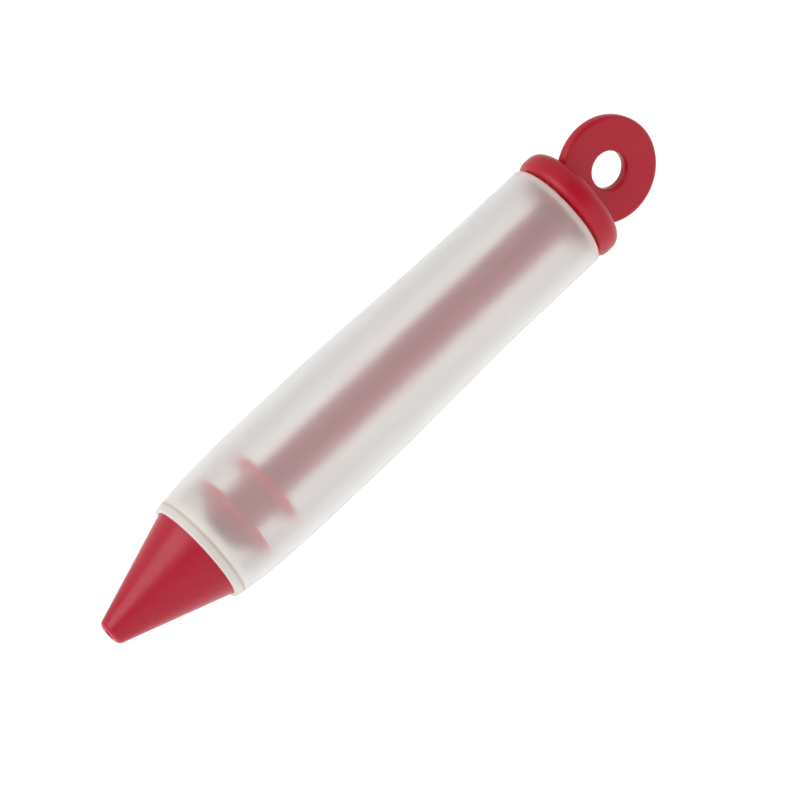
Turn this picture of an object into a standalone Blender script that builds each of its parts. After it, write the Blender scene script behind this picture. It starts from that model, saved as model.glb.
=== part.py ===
"""Cake decorating syringe: a pen-shaped squeeze tube with a push-in nozzle and a ringed plunger.

The pen lies along X with its nozzle at -X and its hanging ring at +X. The ring stands upright in the
XZ plane. The origin is under the middle of the pen, on the surface that it lies on. Metres.
"""

import math

import bmesh
import bpy
from mathutils import Vector

# The clearance that touching pieces keep, the overrun of a cut past the surface it opens, and the
# distance under which the points of a turned outline count as one.
FIT_GAP = 0.0003
CUT_OVERRUN = 0.002
MERGE_DISTANCE = 0.00001

# Barrel: a translucent silicone tube, thickest where the fingers squeeze it. The fullness share is
# the power of the shoulder's curve: a larger one brings it to full size sooner.
BARREL_LENGTH = 0.1071
BORE_RADIUS = 0.0108
BULGE_WALL = 0.0031
WAIST_WALL = 0.00203
BULGE_STATION = 0.040
WAIST_STATION = 0.088
SHOULDER_FULLNESS_SHARE = 4.3
FRONT_WALL_DEPTH = 0.0022
MOUTH_LIP_WIDTH = 0.0015
RIM_LIP_THICKNESS = 0.0007
RIM_ROUNDING = 0.0003
REAR_END_ROUNDING = 0.0008
BORE_CORNER_ROUNDING = 0.0006

# Nozzle: a matte silicone cone whose spigot pushes into the mouth of the barrel.
NOZZLE_LENGTH = 0.0250
SEAT_LEDGE_WIDTH = 0.0023
SEAT_LAND_THICKNESS = 0.0005
SPIGOT_WALL = 0.0016
SPIGOT_LEAD_IN = 0.0004
OUTLET_RADIUS = 0.0012
OUTLET_LENGTH = 0.003
TIP_WALL = 0.00165
TIP_ROUNDING = 0.0010

# Piston head: a soft plug with a wiping rim, pushed over the button of the rod.
PISTON_SETBACK = 0.0098
PISTON_RIM_THICKNESS = 0.0016
PISTON_RIM_ROUNDING = 0.0006
NOSE_LENGTH = 0.0033
NOSE_WALL = 0.0048
NOSE_TIP_RADIUS = 0.0045
NOSE_ROUNDING = 0.0012
BUTTON_WEB_THICKNESS = 0.0016

# Plunger rod: a stiff moulding with a button, a neck, a guide disc and a cross-shaped shaft.
STEM_RADIUS = 0.0024
BUTTON_LEDGE = 0.0010
BUTTON_THICKNESS = 0.0014
BUTTON_ROUNDING = 0.0004
NECK_SHOULDER = 0.0029
NECK_LENGTH = 0.0070
GUIDE_DISC_CLEARANCE = 0.0022
GUIDE_DISC_THICKNESS = 0.0020
GUIDE_DISC_ROUNDING = 0.0005
RIB_SPAN = 0.0092
RIB_THICKNESS = 0.0018
RIB_ROOT_ROUNDING = 0.0006

# Ring handle: the thumb flange, its socket boss and the upright hanging ring, one moulding.
FLANGE_THICKNESS = 0.0062
FLANGE_OVERHANG = 0.00025
FLANGE_ROUNDING = 0.0020
BOSS_LENGTH = 0.0022
BOSS_ROUNDING = 0.0004
SOCKET_WALL = 0.0033
SOCKET_FLOOR = 0.0029
RING_HOLE_RADIUS = 0.0042
RING_BAND_WIDTH = 0.0078
RING_THICKNESS = 0.0030
RING_FOOT_DEPTH = 0.00365
RING_ROUNDING = 0.0005

# Facet counts, and the share of a short side that the rounding of a corner may take.
CORNER_ROOM_SHARE = 0.49
ROUND_PROFILE_SHARE = 0.5
TURN_STEPS = 48
CORNER_STEPS = 3
SHOULDER_STEPS = 8
WAIST_STEPS = 8
RIB_ROOT_SEGMENTS = 2

# Radii that follow from the bore outwards.
AXIS_HEIGHT = BORE_RADIUS + BULGE_WALL
WAIST_RADIUS = BORE_RADIUS + WAIST_WALL
MOUTH_RADIUS = BORE_RADIUS - MOUTH_LIP_WIDTH
SPIGOT_RADIUS = MOUTH_RADIUS - FIT_GAP
NOZZLE_BASE_RADIUS = SPIGOT_RADIUS + SEAT_LEDGE_WIDTH
SEAT_POCKET_RADIUS = NOZZLE_BASE_RADIUS + FIT_GAP
RIM_RADIUS = SEAT_POCKET_RADIUS + RIM_LIP_THICKNESS
TIP_RADIUS = OUTLET_RADIUS + TIP_WALL
PISTON_RADIUS = BORE_RADIUS - FIT_GAP
GUIDE_DISC_RADIUS = BORE_RADIUS - GUIDE_DISC_CLEARANCE
NECK_RADIUS = STEM_RADIUS + NECK_SHOULDER
BUTTON_RADIUS = STEM_RADIUS + BUTTON_LEDGE
BUTTON_POCKET_RADIUS = BUTTON_RADIUS + FIT_GAP
NOSE_BASE_RADIUS = BUTTON_POCKET_RADIUS + NOSE_WALL
BOSS_RADIUS = RIB_SPAN / 2 + FIT_GAP + SOCKET_WALL
FLANGE_RADIUS = WAIST_RADIUS + FLANGE_OVERHANG
RING_RADIUS = RING_HOLE_RADIUS + RING_BAND_WIDTH

# Stations along the pen, counted from the tip of the nozzle.
RIM_STATION = NOZZLE_LENGTH
BARREL_END_STATION = RIM_STATION + BARREL_LENGTH
SEAT_LAND_END_STATION = RIM_STATION + SEAT_LAND_THICKNESS
SEAT_POCKET_STATION = SEAT_LAND_END_STATION + FIT_GAP
CHAMBER_STATION = RIM_STATION + FRONT_WALL_DEPTH
PISTON_FACE_STATION = RIM_STATION + PISTON_SETBACK
PISTON_BACK_STATION = PISTON_FACE_STATION + PISTON_RIM_THICKNESS
BUTTON_BACK_STATION = PISTON_BACK_STATION - BUTTON_WEB_THICKNESS - FIT_GAP
BUTTON_FACE_STATION = BUTTON_BACK_STATION - BUTTON_THICKNESS
NECK_FACE_STATION = PISTON_BACK_STATION + FIT_GAP
GUIDE_DISC_STATION = NECK_FACE_STATION + NECK_LENGTH
FLANGE_STATION = BARREL_END_STATION + FIT_GAP
FLANGE_BACK_STATION = FLANGE_STATION + FLANGE_THICKNESS
BOSS_STATION = FLANGE_STATION - BOSS_LENGTH
ROD_END_STATION = FLANGE_BACK_STATION - SOCKET_FLOOR - FIT_GAP
RING_STATION = FLANGE_BACK_STATION + RING_RADIUS - RING_FOOT_DEPTH
PEN_LENGTH = RING_STATION + RING_RADIUS


def clear_scene():
    for obj in list(bpy.data.objects):
        bpy.data.objects.remove(obj, do_unlink=True)


def plastic(name, colour, roughness, transmission=0.0):
    """A Principled BSDF material of its own for one sub-part."""
    material = bpy.data.materials.new(name)
    material.use_nodes = True
    shader = material.node_tree.nodes["Principled BSDF"]
    shader.inputs["Base Color"].default_value = (*colour, 1)
    shader.inputs["Metallic"].default_value = 0
    shader.inputs["Roughness"].default_value = roughness
    shader.inputs["Transmission Weight"].default_value = transmission
    material.diffuse_color = (*colour, 1)
    return material


def corner_arc(before, corner, after, rounding):
    """The points that round one corner of an outline, held to just under half of its shorter side."""
    towards_before = before - corner
    towards_after = after - corner
    room = min(towards_before.length, towards_after.length) * CORNER_ROOM_SHARE
    towards_before.normalize()
    towards_after.normalize()
    half_angle = towards_before.angle(towards_after) / 2
    tangent = min(rounding / math.tan(half_angle), room)
    radius = tangent * math.tan(half_angle)
    centre = corner + (towards_before + towards_after).normalized() * (radius / math.sin(half_angle))
    first = corner + towards_before * tangent - centre
    turn = first.angle_signed(corner + towards_after * tangent - centre)
    points = []
    for step in range(CORNER_STEPS + 1):
        angle = -turn * step / CORNER_STEPS
        cosine = math.cos(angle)
        sine = math.sin(angle)
        spoke = Vector((first.x * cosine - first.y * sine, first.x * sine + first.y * cosine))
        points.append(centre + spoke)
    return points


def rounded_outline(corners, closed):
    """Turns (radius, station, rounding) corners into the points of an outline with its corners rounded."""
    places = [Vector(corner[:2]) for corner in corners]
    points = []
    for index, (_, _, rounding) in enumerate(corners):
        is_end = not closed and index in (0, len(corners) - 1)
        if rounding and not is_end:
            after = places[(index + 1) % len(places)]
            points.extend(corner_arc(places[index - 1], places[index], after, rounding))
        else:
            points.append(places[index])
    return points


def lay_on_pen_axis(obj, station):
    """Puts an object's origin on the pen's axis at a station, with its own Z running towards the ring."""
    obj.location = (station - PEN_LENGTH / 2, 0, AXIS_HEIGHT)
    obj.rotation_euler = (0, math.pi / 2, 0)


def turned_piece(name, corners, origin_station, material=None, closed=True):
    """Turns an outline once round the pen's axis. The outline runs from the ring end down its outer side."""
    points = rounded_outline(corners, closed)
    mesh = bpy.data.meshes.new(name)
    edges = [(index, index + 1) for index in range(len(points) - 1)]
    if closed:
        edges.append((len(points) - 1, 0))
    vertices = [(point.x, 0, point.y - origin_station) for point in points]
    mesh.from_pydata(vertices, edges, [])
    obj = bpy.data.objects.new(name, mesh)
    bpy.context.collection.objects.link(obj)
    screw = obj.modifiers.new("turn", "SCREW")
    screw.axis = "Z"
    screw.steps = TURN_STEPS
    screw.render_steps = TURN_STEPS
    screw.use_merge_vertices = True
    screw.merge_threshold = MERGE_DISTANCE
    screw.use_smooth_shade = False
    if material:
        mesh.materials.append(material)
    lay_on_pen_axis(obj, origin_station)
    return obj


def cross_bar(name, first_station, last_station, growth):
    """Extrudes a plus-shaped section along the pen, made larger all round by growth."""
    reach = RIB_SPAN / 2 + growth
    half = RIB_THICKNESS / 2 + growth
    mesh = bpy.data.meshes.new(name)
    section = bmesh.new()
    outline = []
    inner_corners = []
    for quarter in range(4):
        turn = quarter * math.pi / 2
        cosine = math.cos(turn)
        sine = math.sin(turn)
        for x, y in ((half, half), (reach, half), (reach, -half)):
            vertex = section.verts.new((x * cosine + y * sine, x * sine - y * cosine, 0))
            outline.append(vertex)
            if x == half:
                inner_corners.append(vertex)
    section.faces.new(outline)
    bmesh.ops.bevel(
        section,
        geom=inner_corners,
        offset=RIB_ROOT_ROUNDING,
        segments=RIB_ROOT_SEGMENTS,
        profile=ROUND_PROFILE_SHARE,
        affect="VERTICES",
    )
    extruded = bmesh.ops.extrude_face_region(section, geom=section.faces[:])
    moved = [item for item in extruded["geom"] if isinstance(item, bmesh.types.BMVert)]
    bmesh.ops.translate(section, verts=moved, vec=(0, 0, last_station - first_station))
    bmesh.ops.recalc_face_normals(section, faces=section.faces[:])
    section.to_mesh(mesh)
    section.free()
    obj = bpy.data.objects.new(name, mesh)
    bpy.context.collection.objects.link(obj)
    lay_on_pen_axis(obj, first_station)
    return obj


def combine(obj, helper, operation):
    """Joins a helper shape to an object, or cuts it out, and hides the helper."""
    helper.hide_render = True
    helper.display_type = "WIRE"
    boolean = obj.modifiers.new(helper.name, "BOOLEAN")
    boolean.object = helper
    boolean.operation = operation
    boolean.solver = "EXACT"


def outer_radius(distance):
    """The barrel's outer radius at a distance behind its rim: full shoulder, bulge, long easing waist."""
    if distance < BULGE_STATION:
        remaining = 1 - distance / BULGE_STATION
        return AXIS_HEIGHT - (AXIS_HEIGHT - RIM_RADIUS) * remaining**SHOULDER_FULLNESS_SHARE
    progress = min((distance - BULGE_STATION) / (WAIST_STATION - BULGE_STATION), 1)
    return AXIS_HEIGHT + (WAIST_RADIUS - AXIS_HEIGHT) * (1 - math.cos(math.pi * progress)) / 2


def barrel_side():
    """The outer side of the barrel from its rear end to its rim, as outline corners."""
    distances = [BULGE_STATION * (step / SHOULDER_STEPS) ** 2 for step in range(1, SHOULDER_STEPS)]
    ease = WAIST_STATION - BULGE_STATION
    distances += [BULGE_STATION + ease * step / WAIST_STEPS for step in range(WAIST_STEPS + 1)]
    return [(outer_radius(distance), RIM_STATION + distance, 0) for distance in reversed(distances)]


def make_barrel():
    corners = [
        (BORE_RADIUS, BARREL_END_STATION, REAR_END_ROUNDING),
        (WAIST_RADIUS, BARREL_END_STATION, REAR_END_ROUNDING),
        *barrel_side(),
        (RIM_RADIUS, RIM_STATION, RIM_ROUNDING),
        (SEAT_POCKET_RADIUS, RIM_STATION, 0),
        (SEAT_POCKET_RADIUS, SEAT_POCKET_STATION, 0),
        (MOUTH_RADIUS, SEAT_POCKET_STATION, 0),
        (MOUTH_RADIUS, CHAMBER_STATION, 0),
        (BORE_RADIUS, CHAMBER_STATION, BORE_CORNER_ROUNDING),
    ]
    frosted = plastic("frosted_silicone", (0.86, 0.86, 0.83), 0.45, transmission=0.6)
    return turned_piece("barrel", corners, RIM_STATION, frosted)


def make_nozzle_cone():
    corners = [
        (SPIGOT_RADIUS - SPIGOT_WALL, CHAMBER_STATION, 0),
        (SPIGOT_RADIUS, CHAMBER_STATION, SPIGOT_LEAD_IN),
        (SPIGOT_RADIUS, SEAT_LAND_END_STATION, 0),
        (NOZZLE_BASE_RADIUS, SEAT_LAND_END_STATION, 0),
        (NOZZLE_BASE_RADIUS, RIM_STATION, 0),
        (TIP_RADIUS, 0, TIP_ROUNDING),
        (OUTLET_RADIUS, 0, 0),
        (OUTLET_RADIUS, OUTLET_LENGTH, 0),
    ]
    red_silicone = plastic("nozzle_silicone", (0.50, 0.03, 0.045), 0.6)
    return turned_piece("nozzle_cone", corners, RIM_STATION, red_silicone)


def make_piston_head():
    pocket_floor = BUTTON_FACE_STATION - FIT_GAP
    pocket_back = BUTTON_BACK_STATION + FIT_GAP
    nose_tip = PISTON_FACE_STATION - NOSE_LENGTH
    corners = [
        (0, pocket_floor, 0),
        (BUTTON_POCKET_RADIUS, pocket_floor, 0),
        (BUTTON_POCKET_RADIUS, pocket_back, 0),
        (STEM_RADIUS + FIT_GAP, pocket_back, 0),
        (STEM_RADIUS + FIT_GAP, PISTON_BACK_STATION, 0),
        (PISTON_RADIUS, PISTON_BACK_STATION, PISTON_RIM_ROUNDING),
        (PISTON_RADIUS, PISTON_FACE_STATION, PISTON_RIM_ROUNDING),
        (NOSE_BASE_RADIUS, PISTON_FACE_STATION, 0),
        (NOSE_TIP_RADIUS, nose_tip, NOSE_ROUNDING),
        (0, nose_tip, 0),
    ]
    soft_red = plastic("piston_silicone", (0.48, 0.04, 0.06), 0.5)
    return turned_piece("piston_head", corners, PISTON_BACK_STATION, soft_red, closed=False)


def make_plunger_rod():
    disc_back = GUIDE_DISC_STATION + GUIDE_DISC_THICKNESS
    corners = [
        (0, disc_back, 0),
        (GUIDE_DISC_RADIUS, disc_back, GUIDE_DISC_ROUNDING),
        (GUIDE_DISC_RADIUS, GUIDE_DISC_STATION, GUIDE_DISC_ROUNDING),
        (NECK_RADIUS, GUIDE_DISC_STATION, 0),
        (NECK_RADIUS, NECK_FACE_STATION, 0),
        (STEM_RADIUS, NECK_FACE_STATION, 0),
        (STEM_RADIUS, BUTTON_BACK_STATION, 0),
        (BUTTON_RADIUS, BUTTON_BACK_STATION, 0),
        (BUTTON_RADIUS, BUTTON_FACE_STATION, BUTTON_ROUNDING),
        (0, BUTTON_FACE_STATION, 0),
    ]
    rod_red = plastic("rod_plastic", (0.45, 0.02, 0.035), 0.35)
    rod = turned_piece("plunger_rod", corners, PISTON_BACK_STATION, rod_red, closed=False)
    shaft_start = disc_back - GUIDE_DISC_THICKNESS / 2
    combine(rod, cross_bar("cross_shaft", shaft_start, ROD_END_STATION, growth=0), "UNION")
    return rod


def make_hanging_ring():
    """The ring by itself, turned round its own level axis. It is upright and stands across the flange."""
    half = RING_THICKNESS / 2
    corners = [
        (RING_HOLE_RADIUS, half, RING_ROUNDING),
        (RING_RADIUS, half, RING_ROUNDING),
        (RING_RADIUS, -half, RING_ROUNDING),
        (RING_HOLE_RADIUS, -half, RING_ROUNDING),
    ]
    ring = turned_piece("hanging_ring", corners, 0)
    ring.location = (RING_STATION - PEN_LENGTH / 2, 0, AXIS_HEIGHT)
    ring.rotation_euler = (math.pi / 2, 0, 0)
    return ring


def make_ring_handle():
    corners = [
        (0, FLANGE_BACK_STATION, 0),
        (FLANGE_RADIUS, FLANGE_BACK_STATION, FLANGE_ROUNDING),
        (FLANGE_RADIUS, FLANGE_STATION, FLANGE_ROUNDING),
        (BOSS_RADIUS, FLANGE_STATION, 0),
        (BOSS_RADIUS, BOSS_STATION, BOSS_ROUNDING),
        (0, BOSS_STATION, 0),
    ]
    glossy_red = plastic("handle_plastic", (0.46, 0.015, 0.03), 0.3)
    handle = turned_piece("ring_handle", corners, FLANGE_STATION, glossy_red, closed=False)
    combine(handle, make_hanging_ring(), "UNION")
    socket_floor = ROD_END_STATION + FIT_GAP
    socket = cross_bar("rod_socket", BOSS_STATION - CUT_OVERRUN, socket_floor, growth=FIT_GAP)
    combine(handle, socket, "DIFFERENCE")
    return handle


clear_scene()
make_barrel()
make_nozzle_cone()
make_piston_head()
make_plunger_rod()
make_ring_handle()
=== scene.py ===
import math

import bpy
from mathutils import Matrix, Vector


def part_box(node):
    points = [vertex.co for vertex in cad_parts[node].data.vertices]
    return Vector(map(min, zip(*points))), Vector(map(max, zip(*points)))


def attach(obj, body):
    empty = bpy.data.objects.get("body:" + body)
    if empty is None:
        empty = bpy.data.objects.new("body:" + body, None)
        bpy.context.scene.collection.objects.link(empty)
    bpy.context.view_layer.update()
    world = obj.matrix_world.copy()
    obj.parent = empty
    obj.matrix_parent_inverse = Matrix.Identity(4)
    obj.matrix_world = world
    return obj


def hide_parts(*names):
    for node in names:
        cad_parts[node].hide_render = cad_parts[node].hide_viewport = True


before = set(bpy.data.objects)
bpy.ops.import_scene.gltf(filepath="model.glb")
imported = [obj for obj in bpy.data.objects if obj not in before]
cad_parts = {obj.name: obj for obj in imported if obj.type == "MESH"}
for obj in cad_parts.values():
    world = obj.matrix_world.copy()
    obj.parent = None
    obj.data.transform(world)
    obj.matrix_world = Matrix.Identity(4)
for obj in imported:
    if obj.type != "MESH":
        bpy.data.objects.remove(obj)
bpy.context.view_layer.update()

# The camera. A long lens stands about a metre off and looks down on the pen, which lies along X.
# The picture is turned so that the pen runs from its lower left corner to its upper right one.
picture_side = 800
focal_pixels = 4500
camera_distance = 0.952
tilt_of_pen = math.radians(12)
turn_of_pen = math.radians(43.19)
height_of_view = math.radians(31)
aimed_pixel = (383.65, 377.75)
aimed_from_tip = 0.07995
sensor_width = 36
nearest_view = 0.01
furthest_view = 20

barrel_low, barrel_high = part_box("barrel")
nozzle_low, nozzle_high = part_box("nozzle_cone")
axis_height = (barrel_low.z + barrel_high.z) / 2
aimed_at = Vector((nozzle_low.x + aimed_from_tip, 0, axis_height))

along = Vector((1, 0, 0))
outward = Vector((0, -math.cos(height_of_view), math.sin(height_of_view)))
across = along.cross(outward)
lean = math.cos(tilt_of_pen) * along + math.sin(tilt_of_pen) * outward
camera_right = math.cos(turn_of_pen) * lean + math.sin(turn_of_pen) * across
camera_up = math.sin(turn_of_pen) * lean - math.cos(turn_of_pen) * across
camera_back = camera_right.cross(camera_up)

metres_per_pixel = camera_distance / focal_pixels
shift_right = (picture_side / 2 - aimed_pixel[0]) * metres_per_pixel
shift_down = (picture_side / 2 - aimed_pixel[1]) * metres_per_pixel
camera_place = aimed_at + shift_right * camera_right - shift_down * camera_up
camera_place += camera_distance * camera_back

camera_data = bpy.data.cameras.new("camera")
camera_data.sensor_width = sensor_width
camera_data.lens = sensor_width * focal_pixels / picture_side
camera_data.clip_start = nearest_view
camera_data.clip_end = furthest_view
camera = bpy.data.objects.new("camera", camera_data)
bpy.context.scene.collection.objects.link(camera)
camera_turn = Matrix((camera_right, camera_up, camera_back)).transposed().to_4x4()
camera.matrix_world = Matrix.Translation(camera_place) @ camera_turn
bpy.context.scene.camera = camera

# The studio: a pale floor that glows like a light table, one large soft light above the nozzle's end,
# and a room that is bright at that end, dim at the ring's end and behind the pen, and dark in two
# places in front of it.
floor_side = 6.0
floor_drop = 0.0001
floor_colour = (0.15, 0.15, 0.15, 1)
floor_glow = 0.98
floor_roughness = 0.9
floor_gloss = 0.1
plain_white = (1, 1, 1, 1)
bpy.ops.object.select_all(action="DESELECT")
bpy.ops.mesh.primitive_plane_add(size=floor_side, location=(0, 0, -floor_drop))
floor = bpy.context.object
floor.name = "studio_floor"
floor_material = bpy.data.materials.new("pale_floor")
floor_material.use_nodes = True
floor_shader = floor_material.node_tree.nodes["Principled BSDF"]
floor_shader.inputs["Base Color"].default_value = floor_colour
floor_shader.inputs["Roughness"].default_value = floor_roughness
floor_shader.inputs["Specular IOR Level"].default_value = floor_gloss
floor_shader.inputs["Emission Color"].default_value = plain_white
floor_shader.inputs["Emission Strength"].default_value = floor_glow
floor.data.materials.append(floor_material)

nozzle_end_brightness = 1.05
ring_end_brightness = 0.72
bright_until = -0.9
dim_from = 0.4
back_share = 0.92
front_until = -0.2
back_from = 0.6
# Each dark place has its direction and the angles round it where it is full and where it is gone.
dark_share = 0.15
dark_places = (
    (Vector((0.27, -0.76, 0.59)), math.radians(14), math.radians(34)),
    (Vector((-0.74, -0.51, 0.45)), math.radians(8), math.radians(22)),
)
world = bpy.data.worlds.new("soft_room")
bpy.context.scene.world = world
world.use_nodes = True
room_nodes = world.node_tree.nodes
room_links = world.node_tree.links
room_direction = room_nodes.new("ShaderNodeTexCoord")
room_axes = room_nodes.new("ShaderNodeSeparateXYZ")
room_links.new(room_direction.outputs["Generated"], room_axes.inputs["Vector"])
end_glow = room_nodes.new("ShaderNodeMapRange")
end_glow.inputs["From Min"].default_value = bright_until
end_glow.inputs["From Max"].default_value = dim_from
end_glow.inputs["To Min"].default_value = nozzle_end_brightness
end_glow.inputs["To Max"].default_value = ring_end_brightness
room_links.new(room_axes.outputs["X"], end_glow.inputs["Value"])
depth_share = room_nodes.new("ShaderNodeMapRange")
depth_share.interpolation_type = "SMOOTHSTEP"
depth_share.inputs["From Min"].default_value = front_until
depth_share.inputs["From Max"].default_value = back_from
depth_share.inputs["To Min"].default_value = 1
depth_share.inputs["To Max"].default_value = back_share
room_links.new(room_axes.outputs["Y"], depth_share.inputs["Value"])
room_glow = room_nodes.new("ShaderNodeMath")
room_glow.operation = "MULTIPLY"
room_links.new(end_glow.outputs["Result"], room_glow.inputs[0])
room_links.new(depth_share.outputs["Result"], room_glow.inputs[1])
for dark_place, dark_within, dark_fades_by in dark_places:
    towards_dark = room_nodes.new("ShaderNodeVectorMath")
    towards_dark.operation = "DOT_PRODUCT"
    towards_dark.inputs[1].default_value = dark_place.normalized()
    room_links.new(room_direction.outputs["Generated"], towards_dark.inputs[0])
    dark_spot = room_nodes.new("ShaderNodeMapRange")
    dark_spot.interpolation_type = "SMOOTHSTEP"
    dark_spot.inputs["From Min"].default_value = math.cos(dark_fades_by)
    dark_spot.inputs["From Max"].default_value = math.cos(dark_within)
    dark_spot.inputs["To Min"].default_value = 1
    dark_spot.inputs["To Max"].default_value = dark_share
    room_links.new(towards_dark.outputs["Value"], dark_spot.inputs["Value"])
    spotted_glow = room_nodes.new("ShaderNodeMath")
    spotted_glow.operation = "MULTIPLY"
    room_links.new(room_glow.outputs["Value"], spotted_glow.inputs[0])
    room_links.new(dark_spot.outputs["Result"], spotted_glow.inputs[1])
    room_glow = spotted_glow
room_links.new(room_glow.outputs["Value"], room_nodes["Background"].inputs["Strength"])
room_nodes["Background"].inputs["Color"].default_value = plain_white

top_light_side = 0.45
top_light_power = 1.4
top_light_place = Vector((-0.36, -0.04, 0.52))
top_light = bpy.data.lights.new("top_softbox", "AREA")
top_light.shape = "SQUARE"
top_light.size = top_light_side
top_light.energy = top_light_power
top_light_object = bpy.data.objects.new("top_softbox", top_light)
top_light_object.location = top_light_place
top_light_object.rotation_euler = (top_light_place - aimed_at).to_track_quat("Z", "Y").to_euler()
bpy.context.scene.collection.objects.link(top_light_object)

bpy.context.scene.view_settings.view_transform = "Standard"

# Barrel: a squeeze tube of frosted, see-through silicone, moulded round a straight core. Its wall
# swells where the fingers press. The front wall has a mouth that the nozzle pushes into.
points_round = 128
bore_radius = 0.0108
rim_radius = 0.0123
waist_radius = 0.01283
bulge_from_rim = 0.040
waist_from_rim = 0.088
shoulder_fullness = 4.3
mouth_radius = 0.0093
seat_pocket_radius = 0.01135
seat_pocket_depth = 0.0008
front_wall_depth = 0.0022
rim_rounding = 0.00028
pocket_lip_rounding = 0.0001
rear_rounding = 0.0008
bore_corner_rounding = 0.0006
shoulder_rings = 24
shoulder_ring_crowding = 1.5
waist_rings = 24
fine_rounding_steps = 3
rounding_steps = 5
bulge_radius = barrel_high.z - axis_height
rim_place = barrel_low.x
rear_place = barrel_high.x
smooth_below = math.radians(35)
merge_distance = 0.000001
place_tolerance = 0.00001


def start_ring(name, place, radius, filled=False):
    """Adds a ring of points round the pen's axis and stays in edit mode, with all of it selected."""
    bpy.ops.object.select_all(action="DESELECT")
    bpy.ops.mesh.primitive_circle_add(
        vertices=points_round,
        radius=radius,
        fill_type="NGON" if filled else "NOTHING",
        location=(place, 0, axis_height),
        rotation=(0, math.pi / 2, 0),
    )
    ring = bpy.context.object
    ring.name = name
    bpy.ops.object.transform_apply(location=True, rotation=True, scale=True)
    bpy.ops.object.mode_set(mode="EDIT")
    bpy.ops.mesh.select_all(action="SELECT")
    return ring


def draw_wall(places_and_radii):
    """Extrudes the selected ring from each place and radius along the pen to the next."""
    for (place, radius), (next_place, next_radius) in zip(places_and_radii, places_and_radii[1:]):
        bpy.ops.mesh.extrude_region_move(TRANSFORM_OT_translate={"value": (next_place - place, 0, 0)})
        growth = next_radius / radius
        bpy.ops.transform.resize(
            value=(1, growth, growth), center_override=(next_place, 0, axis_height)
        )


def bevel_edges(piece, rounding, steps, is_wanted):
    """Bevels the edges whose two ends are where is_wanted says."""
    bpy.ops.mesh.select_mode(type="EDGE")
    bpy.ops.mesh.select_all(action="DESELECT")
    bpy.ops.object.mode_set(mode="OBJECT")
    for edge in piece.data.edges:
        edge.select = is_wanted(*(piece.data.vertices[index].co for index in edge.vertices))
    bpy.ops.object.mode_set(mode="EDIT")
    bpy.ops.mesh.bevel(offset=rounding, segments=steps, affect="EDGES", clamp_overlap=True)


def round_ring(piece, place, radius, rounding, steps=rounding_steps):
    """Bevels the ring of edges at one place and radius."""

    def is_on_ring(*ends):
        return all(
            abs(end.x - place) < place_tolerance
            and abs(math.hypot(end.y, end.z - axis_height) - radius) < place_tolerance
            for end in ends
        )

    bevel_edges(piece, rounding, steps, is_on_ring)


def merge_seam():
    """Merges the last ring of a wall with its first, where the wall comes back to its start."""
    bpy.ops.mesh.select_all(action="SELECT")
    bpy.ops.mesh.remove_doubles(threshold=merge_distance)


def close_up():
    """Turns the faces outwards, leaves edit mode and shades the piece smooth."""
    bpy.ops.mesh.select_all(action="SELECT")
    bpy.ops.mesh.normals_make_consistent(inside=False)
    bpy.ops.object.mode_set(mode="OBJECT")
    bpy.ops.object.shade_smooth_by_angle(angle=smooth_below)


def barrel_radius(from_rim):
    """The tube's outer radius behind its rim: a full shoulder, the bulge, a long ease to the waist."""
    if from_rim < bulge_from_rim:
        remaining = 1 - from_rim / bulge_from_rim
        return bulge_radius - (bulge_radius - rim_radius) * remaining**shoulder_fullness
    progress = min((from_rim - bulge_from_rim) / (waist_from_rim - bulge_from_rim), 1)
    return bulge_radius + (waist_radius - bulge_radius) * (1 - math.cos(math.pi * progress)) / 2


outer_side = []
for step in range(shoulder_rings):
    from_rim = bulge_from_rim * (step / shoulder_rings) ** shoulder_ring_crowding
    outer_side.append((rim_place + from_rim, barrel_radius(from_rim)))
for step in range(waist_rings + 1):
    from_rim = bulge_from_rim + (waist_from_rim - bulge_from_rim) * step / waist_rings
    outer_side.append((rim_place + from_rim, barrel_radius(from_rim)))
front_wall_place = rim_place + front_wall_depth
pocket_floor = rim_place + seat_pocket_depth
barrel = start_ring("barrel_tube", rim_place, rim_radius)
draw_wall(
    outer_side
    + [
        (rear_place, waist_radius),
        (rear_place, bore_radius),
        (front_wall_place, bore_radius),
        (front_wall_place, mouth_radius),
        (pocket_floor, mouth_radius),
        (pocket_floor, seat_pocket_radius),
        (rim_place, seat_pocket_radius),
        (rim_place, rim_radius),
    ]
)
merge_seam()
round_ring(barrel, rim_place, rim_radius, rim_rounding)
round_ring(barrel, rim_place, seat_pocket_radius, pocket_lip_rounding, steps=fine_rounding_steps)
round_ring(barrel, rear_place, waist_radius, rear_rounding)
round_ring(barrel, rear_place, bore_radius, rear_rounding)
round_ring(barrel, front_wall_place, bore_radius, bore_corner_rounding)
close_up()

milky_white = (0.99, 0.99, 0.975)
milky_shade = (0.975, 0.975, 0.95)
rim_cream = (1.0, 0.94, 0.89)
# painted light: the pink of light bounced from the red flange onto the tube's rear end
flange_bounce_pink = (0.97, 0.74, 0.72)
# painted shade: the dark line at the inner corner of the front wall
corner_shade = (0.74, 0.66, 0.61)
milk_cloud_size = 0.012
milk_cloud_detail = 4
silicone_ior = 1.41
silicone_roughness = 0.38
roughness_spread = 0.03
clear_share = 0.82
edge_clear_share = 0.42
end_clear_share = 0.36
slant_blend = 0.5
slant_start = 0.12
slant_full = 0.75
corner_line_from_rim = 0.0019
corner_line_half_width = 0.0006
rim_band_end = 0.0021
rim_band_fade = 0.0028
rear_band = 0.0003
rear_band_fade = 0.0019


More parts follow.
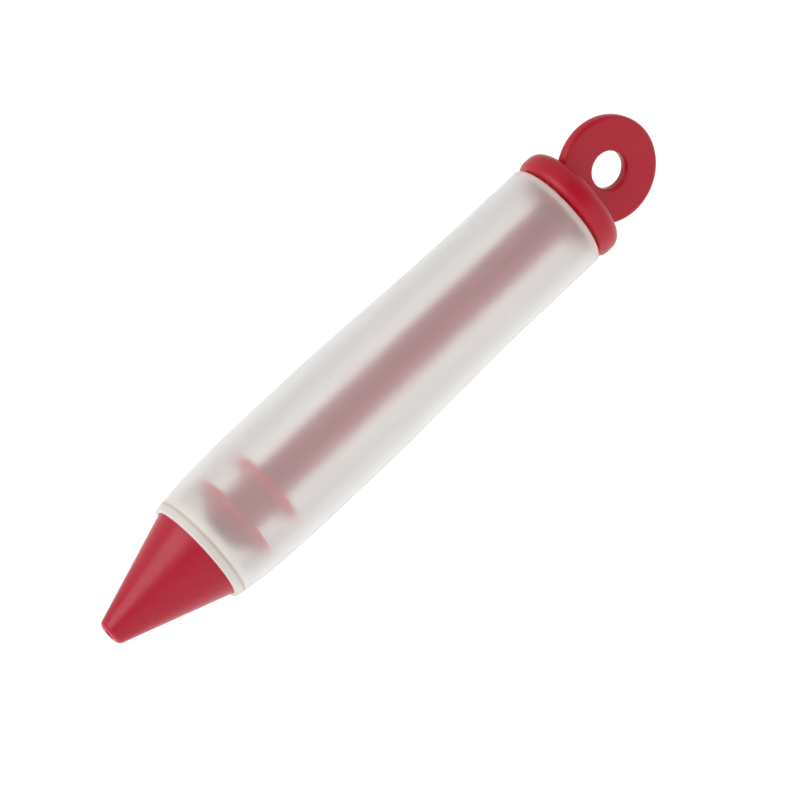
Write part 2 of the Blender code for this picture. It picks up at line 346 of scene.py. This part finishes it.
def frosted_silicone(name):
    """Frosted silicone: a little cloudy, milkier at the tube's ends and where light crosses it aslant,
    with painted light in its colour: a pink glow of light bounced from the red flange at the rear end,
    and a dark line of painted shade at the inner corner of the front wall.
    """
    material = bpy.data.materials.new(name)
    material.use_nodes = True
    nodes = material.node_tree.nodes
    links = material.node_tree.links
    shader = nodes["Principled BSDF"]
    shader.inputs["IOR"].default_value = silicone_ior
    place = nodes.new("ShaderNodeTexCoord")
    cloud = nodes.new("ShaderNodeTexNoise")
    cloud.inputs["Scale"].default_value = 1 / milk_cloud_size
    cloud.inputs["Detail"].default_value = milk_cloud_detail
    links.new(place.outputs["Object"], cloud.inputs["Vector"])
    tint = nodes.new("ShaderNodeMix")
    tint.data_type = "RGBA"
    tint.inputs["A"].default_value = (*milky_shade, 1)
    tint.inputs["B"].default_value = (*milky_white, 1)
    links.new(cloud.outputs["Fac"], tint.inputs["Factor"])
    gloss = nodes.new("ShaderNodeMapRange")
    gloss.inputs["To Min"].default_value = silicone_roughness - roughness_spread
    gloss.inputs["To Max"].default_value = silicone_roughness + roughness_spread
    links.new(cloud.outputs["Fac"], gloss.inputs["Value"])
    links.new(gloss.outputs["Result"], shader.inputs["Roughness"])
    along_pen = nodes.new("ShaderNodeSeparateXYZ")
    links.new(place.outputs["Object"], along_pen.inputs["Vector"])
    behind_rim = nodes.new("ShaderNodeMapRange")
    behind_rim.interpolation_type = "SMOOTHSTEP"
    behind_rim.inputs["From Min"].default_value = rim_place + rim_band_end
    behind_rim.inputs["From Max"].default_value = rim_place + rim_band_end + rim_band_fade
    links.new(along_pen.outputs["X"], behind_rim.inputs["Value"])
    before_rear = nodes.new("ShaderNodeMapRange")
    before_rear.interpolation_type = "SMOOTHSTEP"
    before_rear.inputs["From Min"].default_value = rear_place - rear_band
    before_rear.inputs["From Max"].default_value = rear_place - rear_band - rear_band_fade
    links.new(along_pen.outputs["X"], before_rear.inputs["Value"])
    off_ends = nodes.new("ShaderNodeMath")
    off_ends.operation = "MULTIPLY"
    links.new(behind_rim.outputs["Result"], off_ends.inputs[0])
    links.new(before_rear.outputs["Result"], off_ends.inputs[1])
    rim_tint = nodes.new("ShaderNodeMix")
    rim_tint.data_type = "RGBA"
    rim_tint.inputs["A"].default_value = (*rim_cream, 1)
    links.new(behind_rim.outputs["Result"], rim_tint.inputs["Factor"])
    links.new(tint.outputs["Result"], rim_tint.inputs["B"])
    # Painted light: near the rear end the base colour turns pink, for red light bounced from the flange.
    rear_bounce_tint = nodes.new("ShaderNodeMix")
    rear_bounce_tint.data_type = "RGBA"
    rear_bounce_tint.inputs["A"].default_value = (*flange_bounce_pink, 1)
    links.new(before_rear.outputs["Result"], rear_bounce_tint.inputs["Factor"])
    links.new(rim_tint.outputs["Result"], rear_bounce_tint.inputs["B"])
    # Painted shade: a thin dark line round the tube, where its bore meets the inner face of the front
    # wall.
    from_corner = nodes.new("ShaderNodeMath")
    from_corner.operation = "SUBTRACT"
    from_corner.inputs[1].default_value = rim_place + corner_line_from_rim
    links.new(along_pen.outputs["X"], from_corner.inputs[0])
    off_corner = nodes.new("ShaderNodeMath")
    off_corner.operation = "ABSOLUTE"
    links.new(from_corner.outputs["Value"], off_corner.inputs[0])
    clear_of_corner = nodes.new("ShaderNodeMapRange")
    clear_of_corner.interpolation_type = "SMOOTHSTEP"
    clear_of_corner.inputs["From Max"].default_value = corner_line_half_width
    links.new(off_corner.outputs["Value"], clear_of_corner.inputs["Value"])
    corner_shaded_tint = nodes.new("ShaderNodeMix")
    corner_shaded_tint.data_type = "RGBA"
    corner_shaded_tint.inputs["A"].default_value = (*corner_shade, 1)
    links.new(clear_of_corner.outputs["Result"], corner_shaded_tint.inputs["Factor"])
    links.new(rear_bounce_tint.outputs["Result"], corner_shaded_tint.inputs["B"])
    links.new(corner_shaded_tint.outputs["Result"], shader.inputs["Base Color"])
    slant = nodes.new("ShaderNodeLayerWeight")
    slant.inputs["Blend"].default_value = slant_blend
    wall_clearness = nodes.new("ShaderNodeMapRange")
    wall_clearness.interpolation_type = "SMOOTHSTEP"
    wall_clearness.inputs["From Min"].default_value = slant_start
    wall_clearness.inputs["From Max"].default_value = slant_full
    wall_clearness.inputs["To Min"].default_value = clear_share
    wall_clearness.inputs["To Max"].default_value = edge_clear_share
    links.new(slant.outputs["Facing"], wall_clearness.inputs["Value"])
    clearness = nodes.new("ShaderNodeMix")
    clearness.inputs["A"].default_value = end_clear_share
    links.new(off_ends.outputs["Value"], clearness.inputs["Factor"])
    links.new(wall_clearness.outputs["Result"], clearness.inputs["B"])
    links.new(clearness.outputs["Result"], shader.inputs["Transmission Weight"])
    return material


barrel.data.materials.append(frosted_silicone("frosted_silicone"))
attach(barrel, "barrel")
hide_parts("barrel")

# Nozzle: a hollow cone of matte red silicone with a fine grain. Its base seats in the pocket of the
# rim, and its spigot pushes into the mouth behind.
nozzle_base_radius = 0.0113
nozzle_tip_radius = 0.00285
outlet_radius = 0.0012
outlet_length = 0.003
seat_land = 0.0005
spigot_radius = 0.0090
spigot_wall = 0.0016
spigot_lead_in = 0.0004
tip_rounding = 0.0010
outlet_rounding = 0.0004
base_edge_rounding = 0.00015
tip_place = nozzle_low.x
spigot_end = nozzle_high.x
cone_rings = 12
red_ior = 1.45
red_gloss_level = 0.42
grain_detail = 3
cloud_detail = 2
cloud_in_grains = 20
mottle_in_grains = 5
mottle_share = 0.6
gloss_spread = 0.06
cone_side = []
for step in range(cone_rings + 1):
    share = step / cone_rings
    cone_place = tip_place + (rim_place - tip_place) * share
    cone_side.append((cone_place, nozzle_tip_radius + (nozzle_base_radius - nozzle_tip_radius) * share))
nozzle = start_ring("nozzle", tip_place, nozzle_tip_radius)
draw_wall(
    cone_side
    + [
        (rim_place + seat_land, nozzle_base_radius),
        (rim_place + seat_land, spigot_radius),
        (spigot_end, spigot_radius),
        (spigot_end, spigot_radius - spigot_wall),
        (tip_place + outlet_length, outlet_radius),
        (tip_place, outlet_radius),
        (tip_place, nozzle_tip_radius),
    ]
)
merge_seam()
round_ring(nozzle, tip_place, nozzle_tip_radius, tip_rounding)
round_ring(nozzle, tip_place, outlet_radius, outlet_rounding)
round_ring(nozzle, rim_place, nozzle_base_radius, base_edge_rounding, steps=fine_rounding_steps)
round_ring(nozzle, spigot_end, spigot_radius, spigot_lead_in, steps=fine_rounding_steps)
close_up()


def moulded_red(
    name,
    colour,
    darker_colour,
    roughness,
    grain_size,
    grain_depth,
    rim_glow_colour=None,
    rim_glow_start=None,
    rim_glow_full=None,
):
    """A red moulded finish: a fine grain in colour, gloss and relief, on the piece's own coordinates.

    The rim colour is painted light: a brighter red for the glow of light through the thin rim of a disc.
    It starts at the rim's start radius and is full at its full radius.
    """
    material = bpy.data.materials.new(name)
    material.use_nodes = True
    nodes = material.node_tree.nodes
    links = material.node_tree.links
    shader = nodes["Principled BSDF"]
    shader.inputs["IOR"].default_value = red_ior
    shader.inputs["Specular IOR Level"].default_value = red_gloss_level
    place = nodes.new("ShaderNodeTexCoord")
    grain = nodes.new("ShaderNodeTexNoise")
    grain.inputs["Scale"].default_value = 1 / grain_size
    grain.inputs["Detail"].default_value = grain_detail
    links.new(place.outputs["Object"], grain.inputs["Vector"])
    cloud = nodes.new("ShaderNodeTexNoise")
    cloud.inputs["Scale"].default_value = 1 / (grain_size * cloud_in_grains)
    cloud.inputs["Detail"].default_value = cloud_detail
    links.new(place.outputs["Object"], cloud.inputs["Vector"])
    tint = nodes.new("ShaderNodeMix")
    tint.data_type = "RGBA"
    tint.inputs["A"].default_value = (*darker_colour, 1)
    tint.inputs["B"].default_value = (*colour, 1)
    mottle = nodes.new("ShaderNodeTexNoise")
    mottle.inputs["Scale"].default_value = 1 / (grain_size * mottle_in_grains)
    mottle.inputs["Detail"].default_value = cloud_detail
    links.new(place.outputs["Object"], mottle.inputs["Vector"])
    grain_and_mottle = nodes.new("ShaderNodeMix")
    grain_and_mottle.inputs["Factor"].default_value = mottle_share
    links.new(grain.outputs["Fac"], grain_and_mottle.inputs["A"])
    links.new(mottle.outputs["Fac"], grain_and_mottle.inputs["B"])
    links.new(grain_and_mottle.outputs["Result"], tint.inputs["Factor"])
    finish_colour = tint
    # Painted light: past a radius the base colour turns a brighter red, for the light that comes through
    # a thin disc's rim.
    if rim_glow_colour:
        from_axis = nodes.new("ShaderNodeVectorMath")
        from_axis.operation = "SUBTRACT"
        from_axis.inputs[1].default_value = (0, 0, axis_height)
        links.new(place.outputs["Object"], from_axis.inputs[0])
        across_pen = nodes.new("ShaderNodeVectorMath")
        across_pen.operation = "MULTIPLY"
        across_pen.inputs[1].default_value = (0, 1, 1)
        links.new(from_axis.outputs["Vector"], across_pen.inputs[0])
        radius = nodes.new("ShaderNodeVectorMath")
        radius.operation = "LENGTH"
        links.new(across_pen.outputs["Vector"], radius.inputs[0])
        rim_glow_share = nodes.new("ShaderNodeMapRange")
        rim_glow_share.interpolation_type = "SMOOTHSTEP"
        rim_glow_share.inputs["From Min"].default_value = rim_glow_start
        rim_glow_share.inputs["From Max"].default_value = rim_glow_full
        links.new(radius.outputs["Value"], rim_glow_share.inputs["Value"])
        painted_rim_glow = nodes.new("ShaderNodeMix")
        painted_rim_glow.data_type = "RGBA"
        painted_rim_glow.inputs["B"].default_value = (*rim_glow_colour, 1)
        links.new(rim_glow_share.outputs["Result"], painted_rim_glow.inputs["Factor"])
        links.new(tint.outputs["Result"], painted_rim_glow.inputs["A"])
        finish_colour = painted_rim_glow
    links.new(finish_colour.outputs["Result"], shader.inputs["Base Color"])
    gloss = nodes.new("ShaderNodeMapRange")
    gloss.inputs["To Min"].default_value = roughness - gloss_spread
    gloss.inputs["To Max"].default_value = roughness + gloss_spread
    links.new(cloud.outputs["Fac"], gloss.inputs["Value"])
    links.new(gloss.outputs["Result"], shader.inputs["Roughness"])
    relief = nodes.new("ShaderNodeBump")
    relief.inputs["Strength"].default_value = 1
    relief.inputs["Distance"].default_value = grain_depth
    links.new(grain.outputs["Fac"], relief.inputs["Height"])
    links.new(relief.outputs["Normal"], shader.inputs["Normal"])
    return material


nozzle.data.materials.append(
    moulded_red(
        "nozzle_silicone",
        colour=(0.54, 0.004, 0.036),
        darker_colour=(0.31, 0.001, 0.012),
        roughness=0.31,
        grain_size=0.0003,
        grain_depth=0.000012,
    )
)
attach(nozzle, "nozzle")
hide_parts("nozzle_cone")

# Piston head: a soft red plug snapped over the button of the rod. Its thin rim wipes the bore, and
# its blunt nose pushes the last of the filling into the mouth.
piston_low, piston_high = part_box("piston_head")
bore_clearance = 0.00004
piston_radius = bore_radius - bore_clearance
piston_rim_thickness = 0.0016
piston_rim_rounding = 0.0006
nose_base_radius = 0.0085
nose_tip_radius = 0.0045
nose_rounding = 0.0012
full_rounding_steps = 8
fit_gap = 0.0003
stem_radius = 0.0024
button_radius = 0.0034
button_thickness = 0.0014
button_web_thickness = 0.0016
nose_place = piston_low.x
piston_back = piston_high.x
piston_face = piston_back - piston_rim_thickness
pocket_back = piston_back - button_web_thickness
pocket_front = pocket_back - button_thickness - 2 * fit_gap
piston = start_ring("piston", pocket_front, button_radius + fit_gap, filled=True)
draw_wall(
    [
        (pocket_front, button_radius + fit_gap),
        (pocket_back, button_radius + fit_gap),
        (pocket_back, stem_radius + fit_gap),
        (piston_back, stem_radius + fit_gap),
        (piston_back, piston_radius),
        (piston_face, piston_radius),
        (piston_face, nose_base_radius),
        (nose_place, nose_tip_radius),
    ]
)
round_ring(piston, piston_back, piston_radius, piston_rim_rounding)
round_ring(piston, piston_face, piston_radius, piston_rim_rounding)
round_ring(piston, nose_place, nose_tip_radius, nose_rounding, steps=full_rounding_steps)
close_up()
piston.data.materials.append(
    moulded_red(
        "piston_silicone",
        colour=(0.76, 0.008, 0.086),
        darker_colour=(0.70, 0.006, 0.076),
        roughness=0.45,
        grain_size=0.0004,
        grain_depth=0.00002,
        # painted light: the thin rim is painted a brighter red for the light through it
        rim_glow_colour=(0.92, 0.004, 0.042),
        rim_glow_start=0.0080,
        rim_glow_full=0.0096,
    )
)
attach(piston, "piston")
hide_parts("piston_head")

# Plunger rod: one stiff red moulding. A button and stem hold the piston, a guide disc keeps the rod
# in line, and behind it a cross-shaped shaft runs back to the ring handle.
rod_low, rod_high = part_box("plunger_rod")
button_rounding = 0.0004
neck_radius = 0.0053
neck_from_piston = 0.0003
neck_length = 0.0070
guide_disc_thickness = 0.0020
guide_disc_rounding = 0.0005
rib_span = 0.0092
rib_thickness = 0.0018
rib_root_rounding = 0.0006
rib_edge_rounding = 0.00025
rib_root_steps = 4
squarely = 0.5
guide_disc_radius = (rod_high.z - rod_low.z) / 2
button_place = rod_low.x
button_back = button_place + button_thickness
neck_face = piston_back + neck_from_piston
disc_place = neck_face + neck_length
disc_back = disc_place + guide_disc_thickness
rod_end = rod_high.x
rod = start_ring("plunger_rod_moulding", button_place, button_radius, filled=True)
draw_wall(
    [
        (button_place, button_radius),
        (button_back, button_radius),
        (button_back, stem_radius),
        (neck_face, stem_radius),
        (neck_face, neck_radius),
        (disc_place, neck_radius),
        (disc_place, guide_disc_radius),
        (disc_back, guide_disc_radius),
    ]
)
round_ring(rod, button_place, button_radius, button_rounding)
round_ring(rod, disc_place, guide_disc_radius, guide_disc_rounding)
round_ring(rod, disc_back, guide_disc_radius, guide_disc_rounding)
close_up()


def select_faces(piece, is_wanted):
    """Selects the faces whose normal is as is_wanted says, and stays in edit mode."""
    bpy.ops.object.mode_set(mode="EDIT")
    bpy.ops.mesh.select_mode(type="FACE")
    bpy.ops.mesh.select_all(action="DESELECT")
    bpy.ops.object.mode_set(mode="OBJECT")
    for face in piece.data.polygons:
        face.select = is_wanted(face.normal)
    bpy.ops.object.mode_set(mode="EDIT")


def cross_bar(name, first_place, last_place, growth):
    """A bar with four ribs: a square core whose sides are drawn out, with rounded roots and edges.

    growth is how far its sides stand out from the shaft's own.
    """
    length = last_place - first_place
    thickness = rib_thickness + 2 * growth
    rib_height = (rib_span - rib_thickness) / 2
    bpy.ops.object.select_all(action="DESELECT")
    bpy.ops.mesh.primitive_cube_add(
        size=1,
        location=(first_place + length / 2, 0, axis_height),
        scale=(length, thickness, thickness),
    )
    bar = bpy.context.object
    bar.name = name
    bpy.ops.object.transform_apply(location=True, rotation=True, scale=True)
    select_faces(bar, lambda normal: abs(normal.x) < squarely)
    bpy.ops.mesh.extrude_faces_move(TRANSFORM_OT_shrink_fatten={"value": rib_height})

    def is_root(first, second):
        runs_along = abs(first.x - second.x) > length / 2
        return runs_along and max(abs(first.y), abs(first.z - axis_height)) < thickness

    def is_rib_edge(first, second):
        runs_along = abs(first.x - second.x) > length / 2
        return runs_along and max(abs(first.y), abs(first.z - axis_height)) > rib_height

    bevel_edges(bar, rib_root_rounding, rib_root_steps, is_root)
    bevel_edges(bar, rib_edge_rounding, fine_rounding_steps, is_rib_edge)
    close_up()
    return bar


def combine(piece, helper, operation):
    """Joins a helper shape to a piece, or cuts it out of the piece, and deletes the helper."""
    bpy.ops.object.select_all(action="DESELECT")
    bpy.context.view_layer.objects.active = piece
    piece.select_set(True)
    boolean = piece.modifiers.new("combine", "BOOLEAN")
    boolean.object = helper
    boolean.operation = operation
    boolean.solver = "EXACT"
    bpy.ops.object.modifier_apply(modifier=boolean.name)
    bpy.data.objects.remove(helper, do_unlink=True)
    bpy.ops.object.shade_smooth_by_angle(angle=smooth_below)


shaft_start = disc_back - guide_disc_thickness / 2
combine(rod, cross_bar("cross_shaft", shaft_start, rod_end, growth=0), "UNION")
rod.data.materials.append(
    moulded_red(
        "rod_plastic",
        colour=(0.62, 0.014, 0.080),
        darker_colour=(0.56, 0.012, 0.070),
        roughness=0.38,
        grain_size=0.0006,
        grain_depth=0.00001,
        # painted light: the guide disc's thin rim is painted a brighter red for the light through it
        rim_glow_colour=(0.92, 0.004, 0.038),
        rim_glow_start=0.0055,
        rim_glow_full=0.0066,
    )
)
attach(rod, "plunger")
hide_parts("plunger_rod")

# Ring handle: one moulding of a thick thumb flange, a flat hanging ring on its back and a boss on its
# front. The boss stands in the end of the tube and is pushed on the end of the cross shaft.
handle_low, handle_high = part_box("ring_handle")
boss_radius = 0.0082
boss_length = 0.0022
boss_rounding = 0.0016
flange_thickness = 0.0062
flange_rounding = 0.0020
flange_back_rounding = 0.0028
flange_back_steps = 10
ring_radius = 0.0120
ring_band_width = 0.0078
ring_thickness = 0.0030
ring_rounding = 0.0009
cut_overrun = 0.002
flange_radius = (handle_high.z - handle_low.z) / 2
boss_place = handle_low.x
flange_place = boss_place + boss_length
flange_back = flange_place + flange_thickness
ring_place = handle_high.x - ring_radius
handle = start_ring("ring_handle_moulding", boss_place, boss_radius, filled=True)
draw_wall(
    [
        (boss_place, boss_radius),
        (flange_place, boss_radius),
        (flange_place, flange_radius),
        (flange_back, flange_radius),
    ]
)
round_ring(handle, boss_place, boss_radius, boss_rounding, steps=full_rounding_steps)
round_ring(handle, flange_place, flange_radius, flange_rounding, steps=full_rounding_steps)
round_ring(handle, flange_back, flange_radius, flange_back_rounding, steps=flange_back_steps)
close_up()

bpy.ops.object.select_all(action="DESELECT")
bpy.ops.mesh.primitive_cylinder_add(
    vertices=points_round,
    radius=ring_radius,
    depth=ring_thickness,
    location=(ring_place, 0, axis_height),
    rotation=(math.pi / 2, 0, 0),
)
ring = bpy.context.object
bpy.ops.object.transform_apply(location=True, rotation=True, scale=True)
select_faces(ring, lambda normal: abs(normal.y) > squarely)
bpy.ops.mesh.inset(thickness=ring_band_width)
bpy.ops.mesh.bridge_edge_loops()


def runs_round_ring(first, second):
    """Says whether an edge runs round the ring, on its outside or in its hole."""
    radii = [math.hypot(end.x - ring_place, end.z - axis_height) for end in (first, second)]
    return abs(first.y - second.y) < merge_distance and abs(radii[0] - radii[1]) < merge_distance


bevel_edges(ring, ring_rounding, rounding_steps, runs_round_ring)
close_up()
combine(handle, ring, "UNION")
socket = cross_bar("rod_socket", boss_place - cut_overrun, rod_end + fit_gap, growth=fit_gap)
combine(handle, socket, "DIFFERENCE")
handle.data.materials.append(
    moulded_red(
        "handle_plastic",
        colour=(0.50, 0.003, 0.024),
        darker_colour=(0.41, 0.002, 0.014),
        roughness=0.36,
        grain_size=0.0006,
        grain_depth=0.00001,
    )
)
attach(handle, "plunger")
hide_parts("ring_handle")
